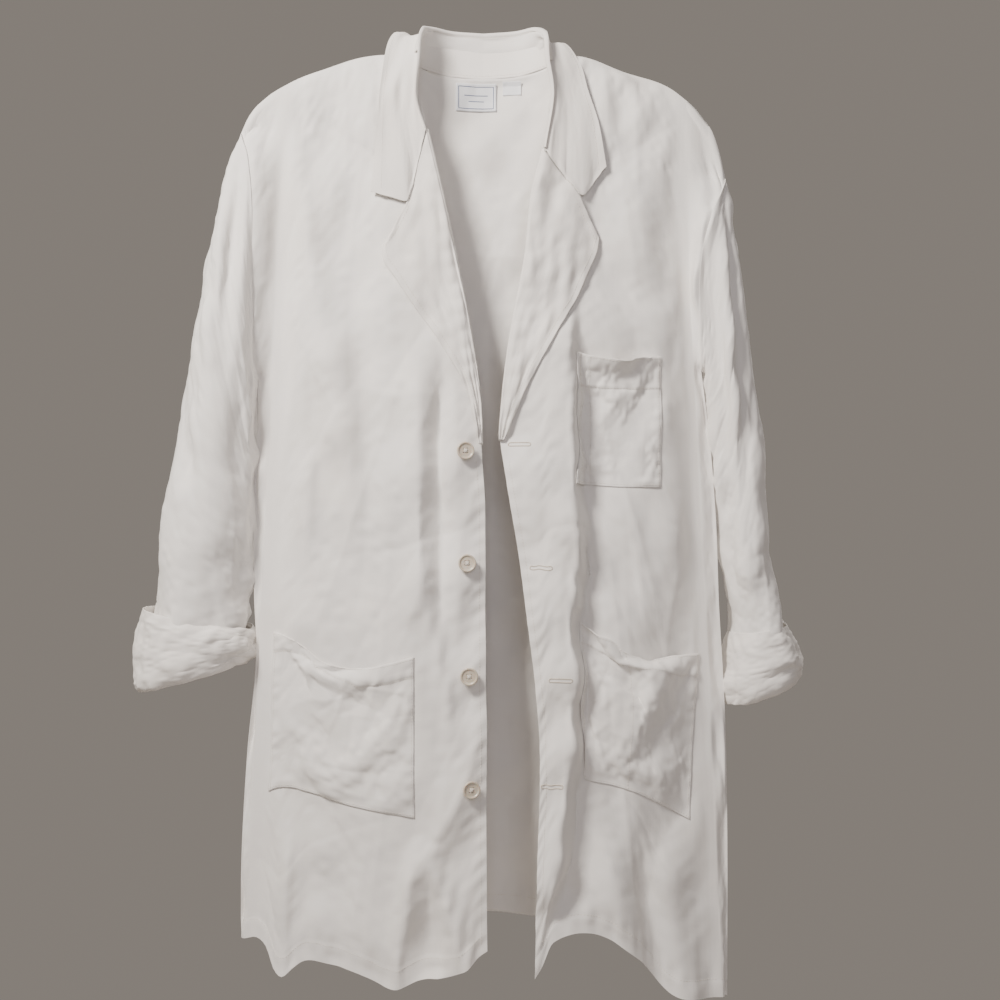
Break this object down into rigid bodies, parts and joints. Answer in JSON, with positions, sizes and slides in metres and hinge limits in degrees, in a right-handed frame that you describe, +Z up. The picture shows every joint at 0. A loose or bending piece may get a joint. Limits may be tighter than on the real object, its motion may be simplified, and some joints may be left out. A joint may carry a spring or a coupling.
{
  "type": "lab coat",
  "caption": "Long white lab coat with notched lapels, turned-up cuffs, patch pockets and a buttoned front hanging open.",
  "frame": {"origin": "where a hanger carries the coat: midway between the two neck points of the shoulder seams, in the plane of the side seams", "axes": "+Z up, the coat's front faces -Y, +X is the wearer's left"},
  "size_m": [0.7256, 0.1516, 1.0523],
  "materials": {
    "cloth": "white poly-cotton twill",
    "facing": "white poly-cotton twill, inner face",
    "interlining": "fused non-woven interlining",
    "label": "woven satin label",
    "button": "cream pearl polyester",
    "thread": "cotton sewing thread"
  },
  "bodies": {
    "coat_back": {"back_panel": "cloth", "collar_stand": "cloth", "neck_label": "label", "size_label": "label", "upper_collar_back": "cloth", "collar_interlining_back": "interlining", "under_collar_back": "cloth", "left_front_side": "cloth", "right_front_side": "cloth"},
    "left_front": {"left_front_panel": "cloth", "left_front_interlining": "interlining", "left_front_facing": "facing", "left_lapel": "facing", "upper_collar_left": "cloth", "collar_interlining_left": "interlining", "under_collar_left": "cloth", "left_lower_pocket": "cloth", "chest_pocket": "cloth", "buttonhole_1": "thread", "buttonhole_2": "thread", "buttonhole_3": "thread", "buttonhole_4": "thread"},
    "right_front": {"right_front_panel": "cloth", "right_front_interlining": "interlining", "right_front_facing": "facing", "right_lapel": "facing", "upper_collar_right": "cloth", "collar_interlining_right": "interlining", "under_collar_right": "cloth", "right_lower_pocket": "cloth"},
    "left_sleeve": {"left_sleeve": "cloth", "left_cuff": "cloth"},
    "right_sleeve": {"right_sleeve": "cloth", "right_cuff": "cloth"},
    "button_1": {"button_1": "button", "button_thread_1": "thread"},
    "button_2": {"button_2": "button", "button_thread_2": "thread"},
    "button_3": {"button_3": "button", "button_thread_3": "thread"},
    "button_4": {"button_4": "button", "button_thread_4": "thread"}
  },
  "joints": [
    {"name": "left_front_swing", "type": "hinge", "parent": "coat_back", "child": "left_front", "pos_m": [0.212, -0.0034, -0.039], "axis": [-0.0447, 0.0039, 0.999], "range_deg": [0, 75]},
    {"name": "right_front_swing", "type": "hinge", "parent": "coat_back", "child": "right_front", "pos_m": [-0.212, -0.0034, -0.039], "axis": [-0.0447, -0.0039, -0.999], "range_deg": [0, 75]},
    {"name": "left_sleeve_raise", "type": "hinge", "parent": "coat_back", "child": "left_sleeve", "pos_m": [0.256, 0, -0.124], "axis": [0, -1, 0], "range_deg": [0, 65]},
    {"name": "right_sleeve_raise", "type": "hinge", "parent": "coat_back", "child": "right_sleeve", "pos_m": [-0.256, 0, -0.077], "axis": [0, 1, 0], "range_deg": [0, 65]},
    {"name": "button_1_tilt", "type": "hinge", "parent": "right_front", "child": "button_1", "pos_m": [-0.01875, -0.04929, -0.41495], "axis": [0, 0, 1], "range_deg": [-12, 12], "stiffness_Nm_per_rad": 0.003},
    {"name": "button_2_tilt", "type": "hinge", "parent": "right_front", "child": "button_2", "pos_m": [-0.01622, -0.05287, -0.53147], "axis": [0, 0, 1], "range_deg": [-12, 12], "stiffness_Nm_per_rad": 0.003},
    {"name": "button_3_tilt", "type": "hinge", "parent": "right_front", "child": "button_3", "pos_m": [-0.01368, -0.05523, -0.64798], "axis": [0, 0, 1], "range_deg": [-12, 12], "stiffness_Nm_per_rad": 0.003},
    {"name": "button_4_tilt", "type": "hinge", "parent": "right_front", "child": "button_4", "pos_m": [-0.01269, -0.05679, -0.76449], "axis": [0, 0, 1], "range_deg": [-12, 12], "stiffness_Nm_per_rad": 0.003}
  ]
}
